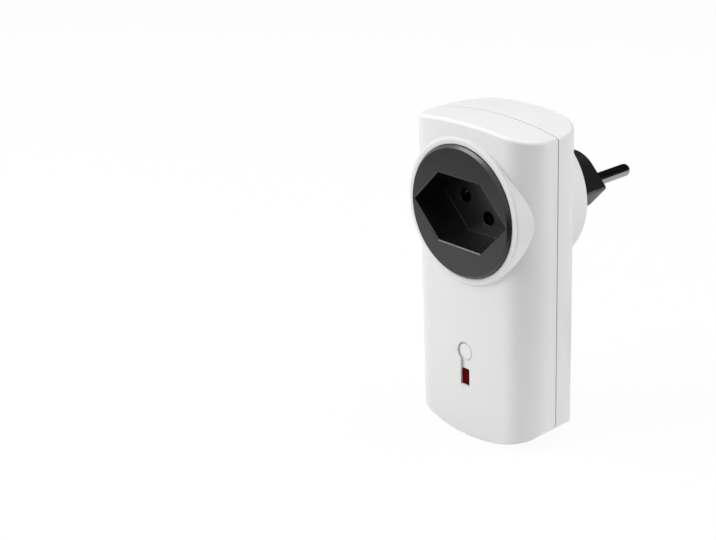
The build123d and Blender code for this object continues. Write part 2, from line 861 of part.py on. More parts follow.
def control_chip():
    """Control chip with a row of legs along each side."""
    back = board_front_y - chip_standoff
    front = back - chip_thickness
    chip = brick(chip_width, chip_length, front, back, chip_x, chip_z)
    leg_thickness = chip_leg_width / 2
    for side in (-1, 1):
        for i in range(chip_leg_count):
            z = chip_z + (i - (chip_leg_count - 1) / 2) * chip_leg_pitch
            shoulder = chip_x + side * (chip_width + chip_leg_reach) / 2
            mid = (front + back) / 2
            chip += brick(chip_leg_reach, chip_leg_width, mid, mid + leg_thickness, shoulder, z)
            foot = chip_x + side * (chip_width / 2 + chip_leg_reach - leg_thickness / 2)
            chip += brick(leg_thickness, chip_leg_width, mid, board_front_y, foot, z)
    return chip


def receiver_header():
    """Pin strip that carries the radio receiver's small board."""
    return brick(header_width, header_height, board_front_y - receiver_standoff, board_front_y,
                 receiver_x, receiver_z)


def receiver_board():
    """Small radio receiver board, parallel to the main board."""
    back = board_front_y - receiver_standoff
    return brick(receiver_width, receiver_height, back - receiver_thickness, back, receiver_x,
                 receiver_z)


def receiver_can():
    """Metal can of the receiver's resonator."""
    back = board_front_y - receiver_standoff - receiver_thickness
    return brick(can_width, can_height, back - can_thickness, back, receiver_x, receiver_z,
                 box_corner_radius)


def antenna():
    """Coiled aerial below the board, drawn as the coil's sleeve, on its upright wire end."""
    y = (board_front_y + board_back_y) / 2
    coil = across_x(antenna_radius, antenna_length, 0, y, antenna_z)
    coil -= across_x(antenna_radius - antenna_wire, antenna_length, 0, y, antenna_z)
    stem_bottom = antenna_z + antenna_radius - antenna_wire / 2
    stem_height = board_bottom_z - stem_bottom
    stem_x = (antenna_wire - antenna_length) / 2
    stem = Pos(stem_x, y, stem_bottom + stem_height / 2) * Cylinder(antenna_wire / 2, stem_height)
    return coil + stem


# Parts on the board's back
def choke_core():
    """Ring core of the interference choke."""
    start = board_back_y + winding_thickness + thread_gap
    core = rod(choke_outer_radius, start, start + choke_height, choke_x, choke_z)
    return core - rod(choke_inner_radius, start, start + choke_height, choke_x, choke_z)


def choke_winding():
    """The choke's winding as one close sleeve around the core, open at the gap between its ends."""
    gap = thread_gap
    start = board_back_y
    end = start + choke_height + 2 * (winding_thickness + gap)
    outer = winding_radius
    inner = choke_inner_radius - winding_thickness - gap
    sleeve = rod(outer, start, end, choke_x, choke_z) - rod(inner, start, end, choke_x, choke_z)
    hollow = rod(choke_outer_radius + gap, start + winding_thickness, end - winding_thickness,
                 choke_x, choke_z)
    hollow -= rod(choke_inner_radius - gap, start, end, choke_x, choke_z)
    sleeve -= hollow
    half_gap = radians(winding_gap_angle / 2)
    reach = 2 * outer
    wedge = make_face(Polyline((0, 0), (-reach * cos(half_gap), reach * sin(half_gap)),
                               (-reach * cos(half_gap), -reach * sin(half_gap)), close=True))
    return sleeve - along_y(Pos(choke_x, choke_z) * wedge, start, end)


def filter_capacitor():
    """Box capacitor across the mains."""
    return brick(filter_width, filter_height, board_back_y, board_back_y + filter_depth, filter_x,
                 filter_z, box_corner_radius)


def dropper_capacitor():
    """Smaller box capacitor that feeds the control circuit."""
    return brick(dropper_width, dropper_height, board_back_y, board_back_y + dropper_depth,
                 dropper_x, dropper_z, box_corner_radius)


def smoothing_capacitor():
    """Round electrolytic capacitor standing on the board."""
    can = rod(capacitor_radius, board_back_y, board_back_y + capacitor_length, capacitor_x,
              capacitor_z)
    return fillet(can.edges().sort_by(Axis.Y)[-1], box_corner_radius)


def triac():
    """Power switch: moulded body, metal tab with its hole, and three bent legs."""
    front = board_back_y + triac_standoff
    back = front + triac_body_thickness
    body_z = triac_top_z - triac_body_height / 2
    part = brick(triac_width, triac_body_height, front, back, triac_x, body_z)
    tab_height = triac_body_height + triac_tab_height
    part += brick(triac_width, tab_height, back, back + triac_tab_thickness, triac_x,
                  triac_top_z - tab_height / 2)
    part -= rod(triac_hole_radius, back, back + triac_tab_thickness, triac_x, triac_hole_z())
    leg_y = front + triac_body_thickness / 2
    for i in (-1, 0, 1):
        x = triac_x + i * triac_leg_pitch
        z = triac_top_z + triac_leg_reach / 2
        part += brick(triac_leg_width, triac_leg_reach, leg_y, leg_y + triac_leg_width / 2, x, z)
        part += brick(triac_leg_width, triac_leg_width / 2, board_back_y,
                      leg_y + triac_leg_width / 2, x,
                      triac_top_z + triac_leg_reach - triac_leg_width / 4)
    return part


def triac_hole_z():
    """Height of the hole in the triac's tab."""
    return triac_top_z - triac_body_height - triac_tab_height / 2


def heat_sink():
    """Bent aluminium plate behind the triac, with a foot on the board."""
    front = board_back_y + triac_standoff + triac_body_thickness + triac_tab_thickness
    back = front + heat_sink_thickness
    width = heat_sink_right - heat_sink_left
    height = heat_sink_top_z - triac_bottom_z
    centre_z = (heat_sink_top_z + triac_bottom_z) / 2
    plate = brick(width, height, front, back, (heat_sink_left + heat_sink_right) / 2, centre_z)
    plate += brick(heat_sink_thickness, height / 2, board_back_y, back,
                   heat_sink_right - heat_sink_thickness / 2, heat_sink_top_z - height / 4)
    return plate - rod(triac_hole_radius, front, back, triac_x, triac_hole_z())


def triac_screw():
    """Screw through the plate and the triac's tab, with its nut on the board side."""
    tab_front = board_back_y + triac_standoff + triac_body_thickness
    seat = tab_front + triac_tab_thickness + heat_sink_thickness
    length = heat_sink_thickness + triac_tab_thickness + triac_nut_height
    screw = pan_screw(triac_x, triac_hole_z(), seat, triac_screw_head_radius,
                      triac_screw_head_height, triac_screw_radius, length, 1)
    nut = RegularPolygon(triac_nut_radius, 6)
    return screw + along_y(Pos(triac_x, triac_hole_z()) * nut, tab_front - triac_nut_height, tab_front)


pieces = {
    "front_cover": front_cover,
    "rear_cover": rear_cover,
    "case_screws": case_screws,
    "socket_insert": socket_insert,
    "contact_carrier": contact_carrier,
    "carrier_screws": carrier_screws,
    "contact_line": contact_line,
    "contact_neutral": contact_neutral,
    "contact_earth": contact_earth,
    "line_strap": line_strap,
    "plug_body": plug_body,
    "pin_line": lambda: pin("line"),
    "pin_neutral": lambda: pin("neutral"),
    "pin_earth": lambda: pin("earth"),
    "learn_button": learn_button,
    "led_window": led_window,
    "switch_body": switch_body,
    "switch_plunger": switch_plunger,
    "main_board": main_board,
    "board_screws": board_screws,
    "status_led": status_led,
    "fuse": fuse,
    "fuse_clips": fuse_clips,
    "varistor": varistor,
    "resistors": resistors,
    "control_chip": control_chip,
    "receiver_header": receiver_header,
    "receiver_board": receiver_board,
    "receiver_can": receiver_can,
    "antenna": antenna,
    "choke_core": choke_core,
    "choke_winding": choke_winding,
    "filter_capacitor": filter_capacitor,
    "dropper_capacitor": dropper_capacitor,
    "smoothing_capacitor": smoothing_capacitor,
    "triac": triac,
    "heat_sink": heat_sink,
    "triac_screw": triac_screw,
}

os.makedirs("parts", exist_ok=True)
for name, make in pieces.items():
    piece = make()
    export_step(piece, f"parts/{name}.step")
    print(f"{name}: {len(piece.solids())} solids, {piece.volume:.1f} mm3")
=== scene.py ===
# %% [markdown]
# # A plug in dimmer, dressed for a studio picture
# The object is a white two-part housing that plugs into a wall socket. It has a round black socket in
# front, a black plug with three pins behind, and a push button with a small red window below the socket.
# The solids come from the construction model and stay where they are. This script gives every piece its
# finish, softens the look of the edges that a mould leaves soft, lays real wire where the solids hold a
# plain sleeve, and sets up the floor, the light and the camera.

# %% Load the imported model
import bpy
from math import cos, pi, radians, sin
from mathutils import Matrix, Vector


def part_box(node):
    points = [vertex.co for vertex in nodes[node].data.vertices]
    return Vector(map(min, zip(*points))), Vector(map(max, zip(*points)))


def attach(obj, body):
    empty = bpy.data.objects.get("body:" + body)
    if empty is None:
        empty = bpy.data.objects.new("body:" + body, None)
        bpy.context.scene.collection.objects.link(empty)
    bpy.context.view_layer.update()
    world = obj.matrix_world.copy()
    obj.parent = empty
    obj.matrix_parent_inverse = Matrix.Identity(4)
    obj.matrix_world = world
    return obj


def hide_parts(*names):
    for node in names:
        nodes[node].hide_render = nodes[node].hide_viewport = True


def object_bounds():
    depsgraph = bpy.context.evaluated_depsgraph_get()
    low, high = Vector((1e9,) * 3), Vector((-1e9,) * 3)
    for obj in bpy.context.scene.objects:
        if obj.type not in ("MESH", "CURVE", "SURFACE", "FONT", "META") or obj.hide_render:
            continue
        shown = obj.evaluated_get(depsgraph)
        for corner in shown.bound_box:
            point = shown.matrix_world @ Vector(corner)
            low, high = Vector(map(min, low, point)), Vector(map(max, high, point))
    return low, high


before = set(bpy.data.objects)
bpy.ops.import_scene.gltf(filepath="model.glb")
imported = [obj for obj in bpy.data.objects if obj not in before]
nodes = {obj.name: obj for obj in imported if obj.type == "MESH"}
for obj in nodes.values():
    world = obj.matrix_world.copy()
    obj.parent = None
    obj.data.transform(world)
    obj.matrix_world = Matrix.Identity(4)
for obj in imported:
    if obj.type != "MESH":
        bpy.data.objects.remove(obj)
cad_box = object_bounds()
MM = 0.001
print("nodes loaded:", len(nodes), "and the box is", [tuple(round(c, 4) for c in p) for p in cad_box])

# %% [markdown]
# ## Patterns for materials
# Moulded plastic, metal plate and lacquer look real because nothing on them is quite even. In Blender that
# unevenness can come from noise: a ramp turns its values into colours, and a map range turns them into any
# other range. These helpers wrap the nodes, so that each finish below reads as a few plain steps. Sizes are
# in metres in the piece's own space, so a pattern keeps its size on every piece.

# %% Helpers for patterns
DARK_PLACE, LIGHT_PLACE = 0.3, 0.7


def new_material(name):
    """A material with its Principled shader, and the object's own coordinates in metres."""
    mat = bpy.data.materials.new(name)
    mat.use_nodes = True
    tree = mat.node_tree
    shader = tree.nodes["Principled BSDF"]
    coords = tree.nodes.new("ShaderNodeTexCoord").outputs["Object"]
    return mat, tree, shader, coords


def noise(tree, coords, size, detail=2.0):
    """Noise whose patches are about `size` metres across."""
    node = tree.nodes.new("ShaderNodeTexNoise")
    node.inputs["Scale"].default_value = 1 / size
    node.inputs["Detail"].default_value = detail
    tree.links.new(coords, node.inputs["Vector"])
    return node.outputs["Fac"]


def ramp(tree, value, stops):
    """A colour ramp from a list of (place, colour)."""
    node = tree.nodes.new("ShaderNodeValToRGB")
    points = node.color_ramp.elements
    while len(points) < len(stops):
        points.new(0.5)
    for point, (place, colour) in zip(points, stops):
        point.position = place
        point.color = (*colour, 1)
    tree.links.new(value, node.inputs["Fac"])
    return node.outputs["Color"]


def two_tones(tree, value, dark, light):
    """A ramp between two tones. Noise rarely leaves its middle, so the ramp starts and ends inside."""
    return ramp(tree, value, [(DARK_PLACE, dark), (LIGHT_PLACE, light)])


def spread(tree, value, low, high):
    """A value from 0 to 1 brought to the range from low to high."""
    node = tree.nodes.new("ShaderNodeMapRange")
    node.inputs["To Min"].default_value = low
    node.inputs["To Max"].default_value = high
    tree.links.new(value, node.inputs["Value"])
    return node.outputs["Result"]


print("two tones run from", DARK_PLACE, "to", LIGHT_PLACE, "of the noise")

# %% [markdown]
# ## Relief and soft edges
# A mould or a lathe leaves a relief far below a tenth of a millimetre. A displaced mesh could show it, but
# would need millions of faces, so a bump node gives it instead. A tool also never leaves a perfectly sharp
# edge. A bevel node rounds only how the edge catches the light, and the solid keeps its true shape.

# %% Helper for relief
BEVEL_SAMPLES = 8


def bump(tree, shader, height, strength, distance, edge=0.0):
    """Raises the surface by the height given, and rounds the look of its edges by the edge radius."""
    node = tree.nodes.new("ShaderNodeBump")
    node.inputs["Strength"].default_value = strength
    node.inputs["Distance"].default_value = distance
    tree.links.new(height, node.inputs["Height"])
    tree.links.new(node.outputs["Normal"], shader.inputs["Normal"])
    if edge:
        soft = tree.nodes.new("ShaderNodeBevel")
        soft.samples = BEVEL_SAMPLES
        soft.inputs["Radius"].default_value = edge
        tree.links.new(soft.outputs["Normal"], node.inputs["Normal"])


print("edges are rounded with", BEVEL_SAMPLES, "samples")

# %% [markdown]
# ## The usual finish
# Most pieces share one recipe: a colour that drifts very slightly in wide patches, a gloss that is uneven
# in smaller ones, and a fine grain over both. One helper builds it, and each piece then only says how
# much of each it has. A second helper puts the finish on the solids.

# %% Helpers for the usual finish
COLOUR_DETAIL, GRAIN_DETAIL = 3.0, 4.0
GLOSS_FINENESS = 5
GRAIN_STRENGTH = 0.6


def shade(colour, factor):
    """The colour made lighter or darker."""
    return tuple(min(1.0, c * factor) for c in colour)


def finish(name, colour, drift, gloss, patch, grain, grain_depth, metal=0.0, edge=0.0, mirror=0.5):
    """The usual finish: drifting colour, uneven gloss, a fine grain and softened edges."""
    mat, tree, shader, coords = new_material(name)
    slow = noise(tree, coords, patch, COLOUR_DETAIL)
    tint = two_tones(tree, slow, shade(colour, 1 - drift), shade(colour, 1 + drift))
    tree.links.new(tint, shader.inputs["Base Color"])
    quick = noise(tree, coords, patch / GLOSS_FINENESS)
    tree.links.new(spread(tree, quick, *gloss), shader.inputs["Roughness"])
    shader.inputs["Metallic"].default_value = metal
    shader.inputs["Specular IOR Level"].default_value = mirror
    bump(tree, shader, noise(tree, coords, grain, GRAIN_DETAIL), GRAIN_STRENGTH, grain_depth, edge)
    return mat


def dress(mat, *names):
    """Gives CAD nodes a finish."""
    for name in names:
        slots = nodes[name].data.materials
        slots.clear()
        slots.append(mat)
    print("dressed", ", ".join(names), "in", mat.name)


print("gloss patches are", GLOSS_FINENESS, "times finer than colour patches")

# %% [markdown]
# ## White housing
# The two half shells and the button are white moulded plastic. A mould for such a housing is spark eroded,
# so the surface is satin, with a grain too fine to count. The colour is a neutral white, a little under
# full white, so that the light still has room to model the form. The button is rubbed by fingers, so it is
# a touch glossier.

# %% White plastic
white = finish("satin_white_plastic", (0.79, 0.79, 0.785), drift=0.012, gloss=(0.44, 0.54),
               patch=30 * MM, grain=0.3 * MM, grain_depth=0.006 * MM, edge=0.35 * MM)
dress(white, "front_cover", "rear_cover")
button_white = finish("button_white_plastic", (0.80, 0.80, 0.79), drift=0.01, gloss=(0.30, 0.38),
                      patch=10 * MM, grain=0.3 * MM, grain_depth=0.004 * MM, edge=0.3 * MM)
dress(button_white, "learn_button")

# %% [markdown]
# ## Black socket and plug
# The socket insert and the plug body are black plastic with a satin, slightly coarser grain. Under a large
# lamp such a surface reads as dark grey, because its gloss is spread wide. A greyer colour could give that
# too, but the deep recess would then be grey as well. So the colour stays nearly black, and the roughness
# and a stronger mirror carry the grey.

# %% Black plastic
black = finish("satin_black_plastic", (0.0048, 0.0048, 0.0051), drift=0.10, gloss=(0.28, 0.36),
               patch=20 * MM, grain=0.25 * MM, grain_depth=0.01 * MM, edge=0.3 * MM, mirror=0.70)
dress(black, "socket_insert", "plug_body")

# %% [markdown]
# ## Pins and screws
# The pins are turned from brass and nickel plated. The lathe leaves fine rings across the pin, which a
# wave pattern along the pin's own axis gives. They are faint, and only break the reflection a little. The
# screws are turned and zinc plated, so they share the recipe with a rougher gloss.

# %% Turned and plated metal
TURNED_TINT, TURNED_GLOSS = 4 * MM, 1.5 * MM
RING_WOBBLE = 0.4


def turned_metal(name, colour, gloss, ring, depth):
    """Turned metal: rings across the Y axis, over the usual uneven gloss."""
    mat, tree, shader, coords = new_material(name)
    tint = two_tones(tree, noise(tree, coords, TURNED_TINT), shade(colour, 0.94), colour)
    tree.links.new(tint, shader.inputs["Base Color"])
    tree.links.new(spread(tree, noise(tree, coords, TURNED_GLOSS), *gloss), shader.inputs["Roughness"])
    shader.inputs["Metallic"].default_value = 1.0
    rings = tree.nodes.new("ShaderNodeTexWave")
    rings.bands_direction = "Y"
    rings.inputs["Scale"].default_value = 1 / ring
    rings.inputs["Distortion"].default_value = RING_WOBBLE
    tree.links.new(coords, rings.inputs["Vector"])
    bump(tree, shader, rings.outputs["Fac"], 0.5, depth)
    return mat


nickel = turned_metal("nickel_plate", (0.33, 0.325, 0.31), (0.08, 0.14), ring=4 * MM, depth=0.001 * MM)
dress(nickel, "pin_line", "pin_neutral", "pin_earth")
zinc = turned_metal("zinc_plate", (0.60, 0.61, 0.63), (0.28, 0.42), ring=2 * MM, depth=0.004 * MM)
dress(zinc, "case_screws", "carrier_screws", "board_screws", "triac_screw")

# %% [markdown]
# ## Red window and diode
# The window is red plastic, so deep in colour that it looks almost black red from outside while the diode
# is off. So it is made here as a solid dark red with faint flow marks and hardly any mirror. The diode
# behind it is a paler, clear red, and lets more than half of the light through.

# %% Red window and diode
FLOW_PATCH = 3 * MM


def clear_plastic(name, colour, clearness, roughness, mirror):
    """Coloured plastic, as clear as it is asked to be, with faint flow marks."""
    mat, tree, shader, coords = new_material(name)
    flow = noise(tree, coords, FLOW_PATCH, COLOUR_DETAIL)
    tint = two_tones(tree, flow, shade(colour, 0.85), shade(colour, 1.1))
    tree.links.new(tint, shader.inputs["Base Color"])
    shader.inputs["Transmission Weight"].default_value = clearness
    shader.inputs["Roughness"].default_value = roughness
    shader.inputs["IOR"].default_value = 1.49
    shader.inputs["Specular IOR Level"].default_value = mirror
    bump(tree, shader, flow, 0.3, 0.01 * MM)
    return mat


window_red = clear_plastic("window_red", (0.088, 0.001, 0.004), clearness=0.0, roughness=0.3, mirror=0.01)
dress(window_red, "led_window")
diode_red = clear_plastic("diode_red", (0.75, 0.03, 0.02), clearness=0.6, roughness=0.12, mirror=0.5)
dress(diode_red, "status_led")

# %% [markdown]
# ## Sheet metal inside
# The spring contacts and the strap are brass sheet, coloured far darker than bare brass: a painted shade
# that keeps the contacts dark deep in the socket holes. The fuse clips and the receiver's can are tin plate,
# and the plate behind the power switch is bare aluminium. Rolling leaves long scratches, so the noise
# is stretched along one axis, which reads as a brushed grain.

# %% Rolled sheet
STREAK_WIDTH = 0.4 * MM
STREAK_SQUEEZE = 0.06


def rolled_metal(name, colour, gloss, along):
    """Rolled sheet: a grain stretched along one axis."""
    mat, tree, shader, coords = new_material(name)
    stretch = tree.nodes.new("ShaderNodeMapping")
    stretch.inputs["Scale"].default_value = [STREAK_SQUEEZE if axis == along else 1.0 for axis in "XYZ"]
    tree.links.new(coords, stretch.inputs["Vector"])
    streaks = noise(tree, stretch.outputs["Vector"], STREAK_WIDTH, GRAIN_DETAIL)
    tint = two_tones(tree, streaks, shade(colour, 0.85), colour)
    tree.links.new(tint, shader.inputs["Base Color"])
    tree.links.new(spread(tree, streaks, *gloss), shader.inputs["Roughness"])
    shader.inputs["Metallic"].default_value = 1.0
    bump(tree, shader, streaks, 0.4, 0.006 * MM)
    return mat


# The brass colour is far darker than bare brass: a painted shade that keeps the contacts dark in the socket
# holes.
brass = rolled_metal("rolled_brass", (0.14, 0.10, 0.045), (0.34, 0.5), along="Y")
dress(brass, "contact_line", "contact_neutral", "contact_earth", "line_strap")
tin = rolled_metal("tin_plate", (0.66, 0.66, 0.68), (0.2, 0.34), along="X")
dress(tin, "fuse_clips", "receiver_can")
dress(rolled_metal("bare_aluminium", (0.70, 0.70, 0.72), (0.3, 0.5), along="Z"), "heat_sink")

# %% [markdown]
# ## Circuit board
# The board is green solder mask over copper tracks. The tracks are a shape that repeats at right angles,
# and a brick pattern gives that without drawing each one. Its lines are a lighter green and stand a
# little proud, as copper under lacquer does.

# %% Board with tracks
MASK_DARK, MASK_LIGHT, TRACK = (0.012, 0.10, 0.035), (0.016, 0.13, 0.045), (0.05, 0.24, 0.07)


def board_finish(name):
    """Solder mask with tracks under it."""
    mat, tree, shader, coords = new_material(name)
    turn = tree.nodes.new("ShaderNodeMapping")
    turn.inputs["Rotation"].default_value = (pi / 2, 0, 0)
    tree.links.new(coords, turn.inputs["Vector"])
    tracks = tree.nodes.new("ShaderNodeTexBrick")
    tracks.inputs["Color1"].default_value = (*MASK_DARK, 1)
    tracks.inputs["Color2"].default_value = (*MASK_LIGHT, 1)
    tracks.inputs["Mortar"].default_value = (*TRACK, 1)
    tracks.inputs["Scale"].default_value = 1.0
    tracks.inputs["Brick Width"].default_value = 7 * MM
    tracks.inputs["Row Height"].default_value = 2.6 * MM
    tracks.inputs["Mortar Size"].default_value = 0.35 * MM
    tracks.offset = 0.37
    tree.links.new(turn.outputs["Vector"], tracks.inputs["Vector"])
    tree.links.new(tracks.outputs["Color"], shader.inputs["Base Color"])
    tree.links.new(spread(tree, noise(tree, coords, 2 * MM), 0.22, 0.34), shader.inputs["Roughness"])
    bump(tree, shader, tracks.outputs["Fac"], 0.5, 0.04 * MM)
    return mat


dress(board_finish("solder_mask"), "main_board", "receiver_board")

# %% [markdown]
# ## Moulded parts inside
# The contact carrier is moulded in cream, the usual colour of a heat-proof plastic, and the switch has a
# grey plunger. The chip, the header and the switch body are pressed from black moulding compound. They
# could share one black, but the compound is duller and speckled, so it has its own.

# %% Cream, compound and grey
cream = finish("cream_plastic", (0.62, 0.56, 0.43), drift=0.03, gloss=(0.42, 0.55), patch=10 * MM,
               grain=0.3 * MM, grain_depth=0.01 * MM)
dress(cream, "contact_carrier")
compound = finish("moulding_compound", (0.02, 0.02, 0.021), drift=0.15, gloss=(0.45, 0.6), patch=3 * MM,
                  grain=0.2 * MM, grain_depth=0.01 * MM)
dress(compound, "control_chip", "receiver_header", "switch_body")
grey = finish("grey_plunger", (0.10, 0.10, 0.105), drift=0.05, gloss=(0.35, 0.45), patch=3 * MM,
              grain=0.2 * MM, grain_depth=0.006 * MM)
dress(grey, "switch_plunger")

# %% [markdown]
# ## Lacquer, film boxes and ferrite
# The surge disc is dipped in blue lacquer, which runs a little and stays glossy, so its grain is wide and
# deep. The two film capacitors are smooth yellow boxes. The choke's core is sintered ferrite, dull and dark.

# %% Bought-in bodies
blue = finish("blue_lacquer", (0.03, 0.11, 0.42), drift=0.06, gloss=(0.16, 0.28), patch=4 * MM,
              grain=1.2 * MM, grain_depth=0.03 * MM)
dress(blue, "varistor")
film = finish("yellow_film_box", (0.70, 0.46, 0.05), drift=0.03, gloss=(0.28, 0.38), patch=6 * MM,
              grain=0.4 * MM, grain_depth=0.008 * MM)
dress(film, "filter_capacitor", "dropper_capacitor")
ferrite = finish("dark_ferrite", (0.05, 0.05, 0.052), drift=0.12, gloss=(0.5, 0.65), patch=4 * MM,
                 grain=0.3 * MM, grain_depth=0.03 * MM)
dress(ferrite, "choke_core")

# %% [markdown]
# ## Two finishes on one solid
# A few bought-in parts are one solid with two finishes, such as a glass tube with metal caps. The solid
# could be cut in two, but its place along one axis already says which finish is meant. So a ramp with
# hard steps chooses the colour there, and a second one says where it is metal.

# %% Helper for finishes in bands
BAND_GLOSS_PATCH, BAND_GRAIN = 2 * MM, 0.5 * MM


def place_along(tree, coords, axis, low, high):
    """A value that runs from 0 at low to 1 at high along an axis."""
    parts = tree.nodes.new("ShaderNodeSeparateXYZ")
    tree.links.new(coords, parts.inputs["Vector"])
    node = tree.nodes.new("ShaderNodeMapRange")
    node.inputs["From Min"].default_value = low
    node.inputs["From Max"].default_value = high
    tree.links.new(parts.outputs[axis], node.inputs["Value"])
    return node.outputs["Result"]


def stepped(name, node, axis, bands, metal_bands, gloss):
    """A finish in hard bands along an axis of a node's box, each band (start, colour)."""
    low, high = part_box(node)
    mat, tree, shader, coords = new_material(name)
    index = "XYZ".index(axis)
    place = place_along(tree, coords, axis, low[index], high[index])
    colours = ramp(tree, place, bands)
    metal = ramp(tree, place, [(start, (value,) * 3) for start, value in metal_bands])
    for steps in (colours, metal):
        steps.node.color_ramp.interpolation = "CONSTANT"
    tree.links.new(colours, shader.inputs["Base Color"])
    tree.links.new(metal, shader.inputs["Metallic"])
    tree.links.new(spread(tree, noise(tree, coords, BAND_GLOSS_PATCH), *gloss), shader.inputs["Roughness"])
    bump(tree, shader, noise(tree, coords, BAND_GRAIN), 0.4, 0.008 * MM)
    print(name, "has", len(bands), "bands along", axis)
    return mat


# %% [markdown]
# ## Fuse
# The fuse is a glass tube between two pressed metal caps. Each cap takes a quarter of its length.

# %% Fuse with its caps
CAP, GLASS = (0.66, 0.66, 0.68), (0.55, 0.60, 0.60)
CAP_SHARE = 0.25
fuse = stepped("fuse_glass_and_caps", "fuse", "X", [(0, CAP), (CAP_SHARE, GLASS), (1 - CAP_SHARE, CAP)],
               [(0, 1), (CAP_SHARE, 0), (1 - CAP_SHARE, 1)], gloss=(0.12, 0.2))
dress(fuse, "fuse")

# %% [markdown]
# ## Power switch and round capacitor
# The power switch has a black moulded body on a metal tab, which carries the heat to the aluminium plate.
# The round capacitor is an aluminium can in a dark sleeve, which leaves the end of the can bare. Both
# change along the depth of the case.

# %% Body with a tab, can with a sleeve
COMPOUND, TAB = (0.02, 0.02, 0.021), (0.62, 0.62, 0.64)
TAB_THICKNESS = 1.3 * MM
low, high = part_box("triac")
tab_share = 1 - TAB_THICKNESS / (high.y - low.y)
power_switch = stepped("switch_body_and_tab", "triac", "Y", [(0, COMPOUND), (tab_share, TAB)],
                       [(0, 0), (tab_share, 1)], gloss=(0.35, 0.5))
dress(power_switch, "triac")

SLEEVE, ALUMINIUM = (0.02, 0.02, 0.05), (0.66, 0.66, 0.68)
SLEEVE_SHARE = 0.95
sleeved_can = stepped("capacitor_sleeve", "smoothing_capacitor", "Y",
                      [(0, SLEEVE), (SLEEVE_SHARE, ALUMINIUM)], [(0, 0), (SLEEVE_SHARE, 1)],
                      gloss=(0.25, 0.36))
dress(sleeved_can, "smoothing_capacitor")

# %% [markdown]
# ## Resistors
# Each resistor is a tan lacquered body between two wire ends, with four colour rings that give its value.
# All three lie the same way, so one set of bands across their common box dresses them.

# %% Resistors with their rings
WIRE, TAN = (0.6, 0.6, 0.62), (0.55, 0.40, 0.22)
BROWN, RED, ORANGE, GOLD = (0.12, 0.04, 0.02), (0.5, 0.02, 0.02), (0.75, 0.2, 0.02), (0.6, 0.4, 0.1)
BODY_SHARES = (0.16, 0.84)
RING_SHARES = {0.28: BROWN, 0.40: RED, 0.52: ORANGE, 0.70: GOLD}
RING_WIDTH_SHARE = 0.06
rings = [(0, WIRE), (BODY_SHARES[0], TAN)]
for start, colour in RING_SHARES.items():
    rings += [(start, colour), (start + RING_WIDTH_SHARE, TAN)]
rings.append((BODY_SHARES[1], WIRE))
metal_ends = [(0, 1), (BODY_SHARES[0], 0), (BODY_SHARES[1], 1)]
dress(stepped("resistor_rings", "resistors", "X", rings, metal_ends, gloss=(0.22, 0.32)), "resistors")

# %% [markdown]
# ## Enamelled wire
# The solids hold the choke's winding and the aerial as plain sleeves. On the real parts they are round
# enamelled wire. A twisted texture could hint at it, but a wire is easy to lay as what it is: a curve
# through points on a helix, with a round bevel. Each wire stays inside its sleeve's space.

# %% Helper for a wire
def wire(name, points, radius, node):
    """A round copper wire through the points, which stands for a CAD node."""
    curve = bpy.data.curves.new(name, "CURVE")
    curve.dimensions = "3D"
    curve.bevel_depth = radius
    curve.bevel_resolution = 3
    curve.use_fill_caps = True
    spline = curve.splines.new("POLY")
    spline.points.add(len(points) - 1)
    for knot, point in zip(spline.points, points):
        knot.co = (*point, 1)
    curve.materials.append(copper)
    obj = bpy.data.objects.new(name, curve)
    bpy.context.scene.collection.objects.link(obj)
    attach(obj, "housing")
    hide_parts(node)
    print(name, "has", len(points), "points")


copper = finish("enamelled_copper", (0.42, 0.13, 0.04), drift=0.08, gloss=(0.18, 0.3), patch=2 * MM,
                grain=0.6 * MM, grain_depth=0.01 * MM, metal=1.0)
STEPS_PER_TURN = 24

# %% [markdown]
# ## Choke winding
# The choke's wire goes round and round a ferrite ring. Its points run round the ring with one angle and
# round the ring's own section with another. The section is square, so the circle is pushed out a little
# and then cut off at the section's sides. A gap in the ring is left free, where the two ends come out.

# %% Wire round the ring
CHOKE_TURNS, CHOKE_GAP = 22, radians(56)
SLEEVE_ROOM = 0.03 * MM
SQUARENESS = 1.25
STRAND_SHARE = 0.6
low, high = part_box("choke_winding")
core_low, core_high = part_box("choke_core")
centre = (core_low + core_high) / 2
core_radius = (core_high.x - core_low.x) / 2
half_sleeve = (core_low.y - low.y) / 2 - SLEEVE_ROOM
hole_radius = core_radius / 2
loop_wide = (core_radius - hole_radius) / 2 + half_sleeve
loop_tall = (core_high.y - core_low.y) / 2 + half_sleeve
ring = (core_radius + hole_radius) / 2
steps = CHOKE_TURNS * STEPS_PER_TURN
choke_points = []
for i in range(steps + 1):
    around = pi + CHOKE_GAP / 2 + (2 * pi - CHOKE_GAP) * i / steps
    turn = 2 * pi * i / STEPS_PER_TURN
    reach = ring + loop_wide * max(-1, min(1, SQUARENESS * cos(turn)))
    lift = loop_tall * max(-1, min(1, SQUARENESS * sin(turn)))
    choke_points.append((centre.x + reach * cos(around), centre.y + lift, centre.z + reach * sin(around)))
wire("choke_wire", choke_points, half_sleeve * STRAND_SHARE, "choke_winding")

# %% [markdown]
# ## Aerial
# The aerial is a straight coil of the same wire, with one end bent up. Its helix fits the sleeve's box from
# end to end.

# %% Coiled aerial
AERIAL_TURNS = 16
aerial_wire = 0.25 * MM
low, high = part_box("antenna")
aerial_radius = (high.y - low.y) / 2 - aerial_wire
aerial_z = low.z + aerial_radius + aerial_wire
aerial_y = (low.y + high.y) / 2
run = high.x - low.x - 2 * aerial_wire
steps = AERIAL_TURNS * STEPS_PER_TURN
aerial_points = [(low.x + aerial_wire, aerial_y, high.z)]
for i in range(steps + 1):
    turn = 2 * pi * i / STEPS_PER_TURN + pi / 2
    along = low.x + aerial_wire + run * i / steps
    aerial_points.append((along, aerial_y + aerial_radius * cos(turn), aerial_z + aerial_radius * sin(turn)))
wire("aerial_wire", aerial_points, aerial_wire, "antenna")

# %% [markdown]
# ## Camera
# The camera stands where the photographer stood: to the right of the socket and above it. Its place was
# worked out from the known sizes of the socket and the plug. The object sits right of the middle of the
# picture, so the lens is shifted by that much and no more.

